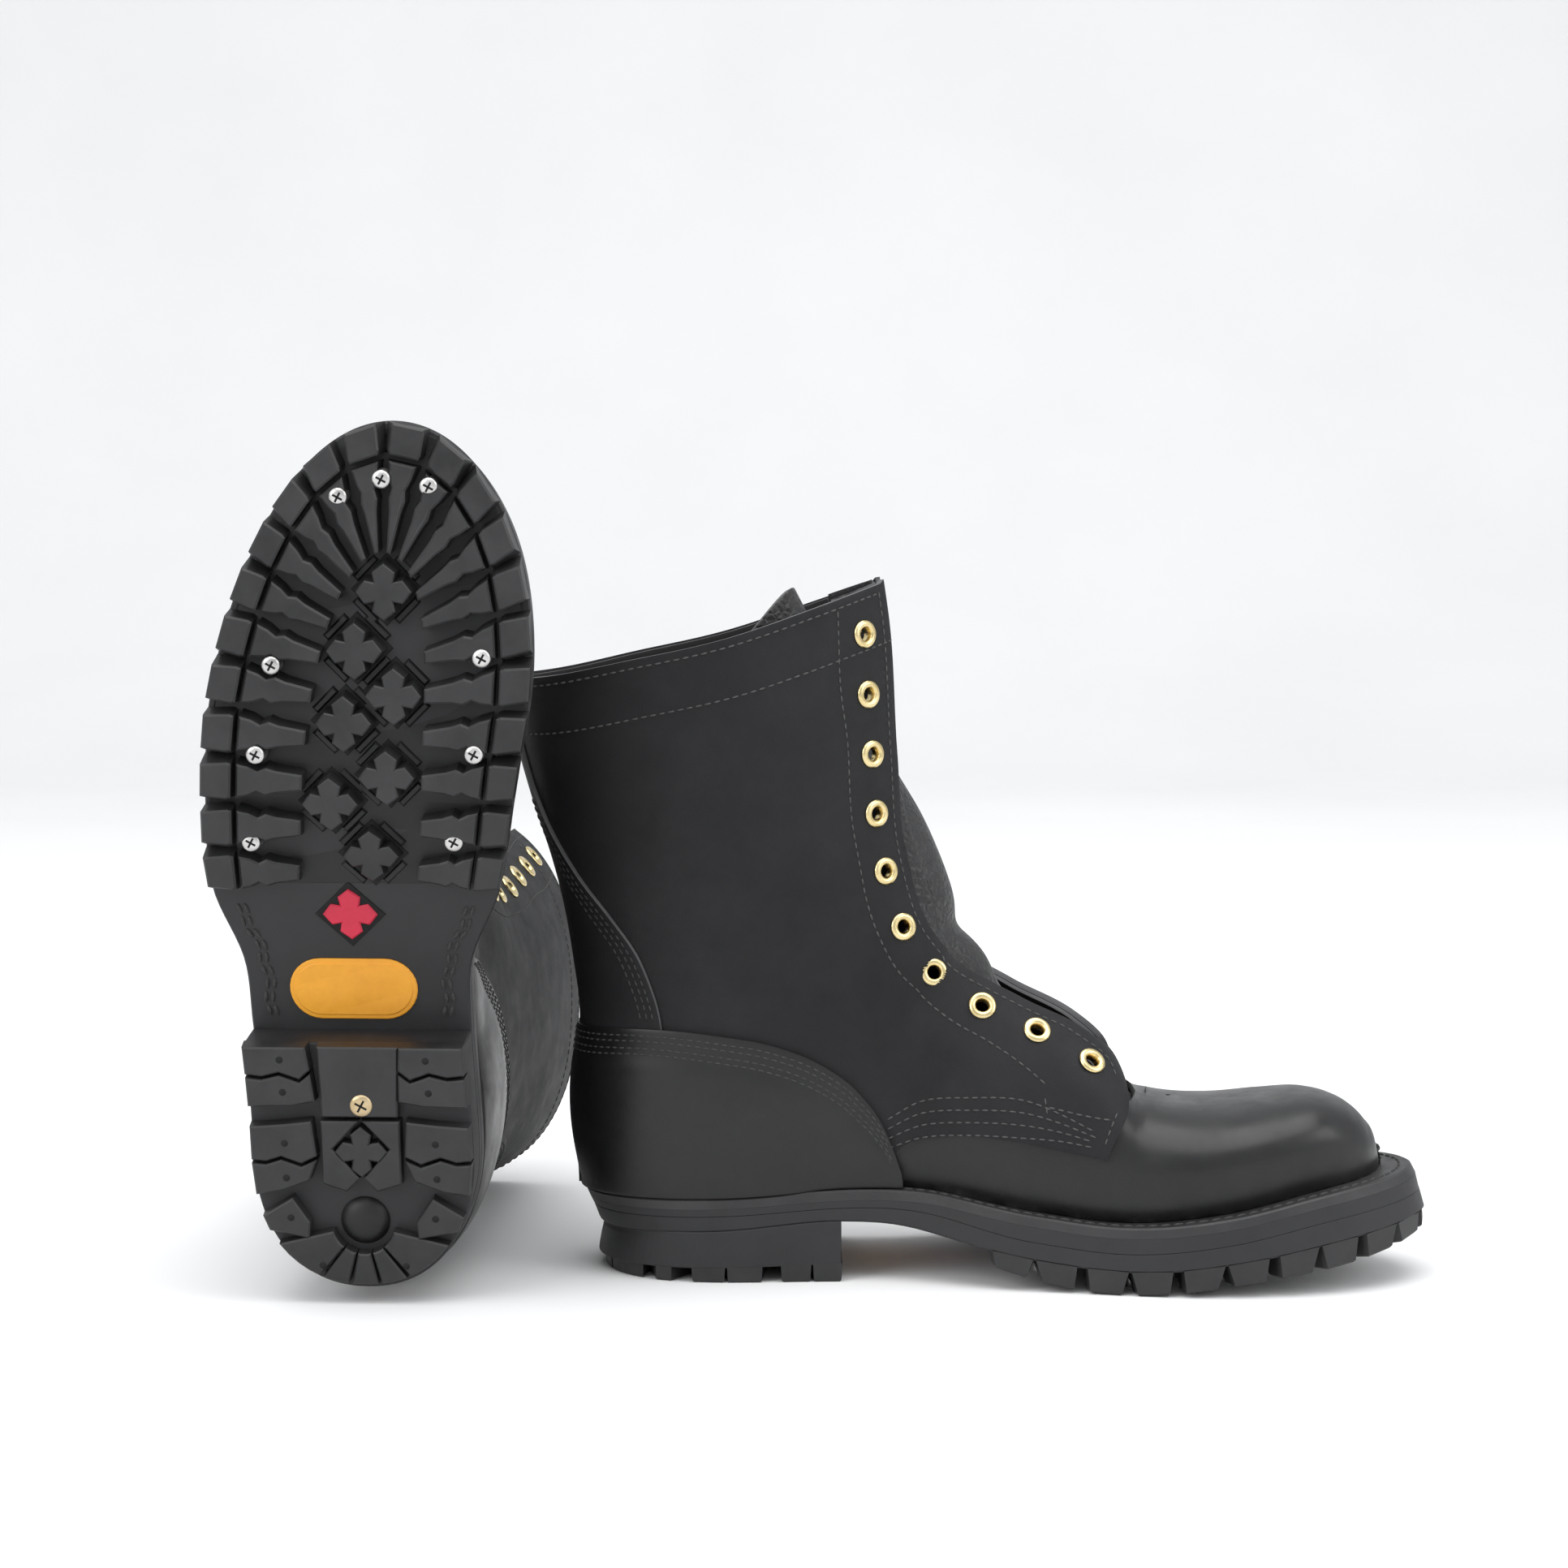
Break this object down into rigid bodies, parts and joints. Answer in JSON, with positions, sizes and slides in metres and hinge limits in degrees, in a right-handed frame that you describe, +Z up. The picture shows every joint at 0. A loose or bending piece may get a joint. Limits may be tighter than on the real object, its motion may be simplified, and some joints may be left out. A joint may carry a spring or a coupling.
{
  "type": "fire boots",
  "caption": "Pair of high black leather fire boots with lugged rubber soles and rows of brass eyelets, one standing and one lying on its back.",
  "frame": {"origin": "middle of the pair's bounding box, on the floor", "axes": "+Z up, +X along the standing left boot from heel to toe, +Y away from the side where the soles of the lying boot face"},
  "size_m": [0.4434, 0.2786, 0.3152],
  "materials": {
    "smooth_leather": "satin smooth black leather",
    "shaft_leather": "fine grained black leather",
    "soft_leather": "soft pebbled black leather",
    "edge_leather": "blackened trimmed leather edge",
    "plain_leather": "undyed leather",
    "black_rubber": "matt moulded rubber",
    "brass": "bright brass",
    "steel": "zinc plated steel",
    "amber_inlay": "plain amber rubber"
  },
  "bodies": {
    "left_boot": {"left_outsole": "black_rubber", "left_heel_block": "black_rubber", "left_sole_badge": "amber_inlay", "left_heel_screw": "brass", "left_sole_screw_1": "steel", "left_sole_screw_2": "steel", "left_sole_screw_3": "steel", "left_sole_screw_4": "steel", "left_sole_screw_5": "steel", "left_sole_screw_6": "steel", "left_sole_screw_7": "steel", "left_sole_screw_8": "steel", "left_sole_screw_9": "steel", "left_midsole": "edge_leather", "left_welt": "edge_leather", "left_insole": "plain_leather", "left_shank": "steel", "left_vamp": "smooth_leather", "left_toe_puff": "plain_leather", "left_quarter_outer": "shaft_leather", "left_quarter_inner": "shaft_leather", "left_eyelet_stay_outer": "shaft_leather", "left_eyelet_stay_inner": "shaft_leather", "left_eyelets_outer": "brass", "left_eyelets_inner": "brass", "left_heel_counter": "plain_leather", "left_counter_cover": "smooth_leather", "left_backstay": "shaft_leather", "left_collar_band": "shaft_leather"},
    "left_tongue": {"left_tongue": "soft_leather"},
    "right_boot": {"right_outsole": "black_rubber", "right_heel_block": "black_rubber", "right_sole_badge": "amber_inlay", "right_heel_screw": "brass", "right_sole_screw_1": "steel", "right_sole_screw_2": "steel", "right_sole_screw_3": "steel", "right_sole_screw_4": "steel", "right_sole_screw_5": "steel", "right_sole_screw_6": "steel", "right_sole_screw_7": "steel", "right_sole_screw_8": "steel", "right_sole_screw_9": "steel", "right_midsole": "edge_leather", "right_welt": "edge_leather", "right_insole": "plain_leather", "right_shank": "steel", "right_vamp": "smooth_leather", "right_toe_puff": "plain_leather", "right_quarter_outer": "shaft_leather", "right_quarter_inner": "shaft_leather", "right_eyelet_stay_outer": "shaft_leather", "right_eyelet_stay_inner": "shaft_leather", "right_eyelets_outer": "brass", "right_eyelets_inner": "brass", "right_heel_counter": "plain_leather", "right_counter_cover": "smooth_leather", "right_backstay": "shaft_leather", "right_collar_band": "shaft_leather"},
    "right_tongue": {"right_tongue": "soft_leather"}
  },
  "joints": [
    {"name": "left_tongue_hinge", "type": "hinge", "parent": "left_boot", "child": "left_tongue", "pos_m": [0.11101, -0.03696, 0.06663], "axis": [0, 1, 0], "range_deg": [0, 25]},
    {"name": "right_boot_slide", "type": "slide", "parent": "left_boot", "child": "right_boot", "axis": [-1, 0, 0], "range_m": [0, 0.3]},
    {"name": "right_tongue_hinge", "type": "hinge", "parent": "right_boot", "child": "right_tongue", "pos_m": [-0.16093, -0.06952, 0.21174], "axis": [0.9986, -0.0523, 0], "range_deg": [0, 25]}
  ]
}
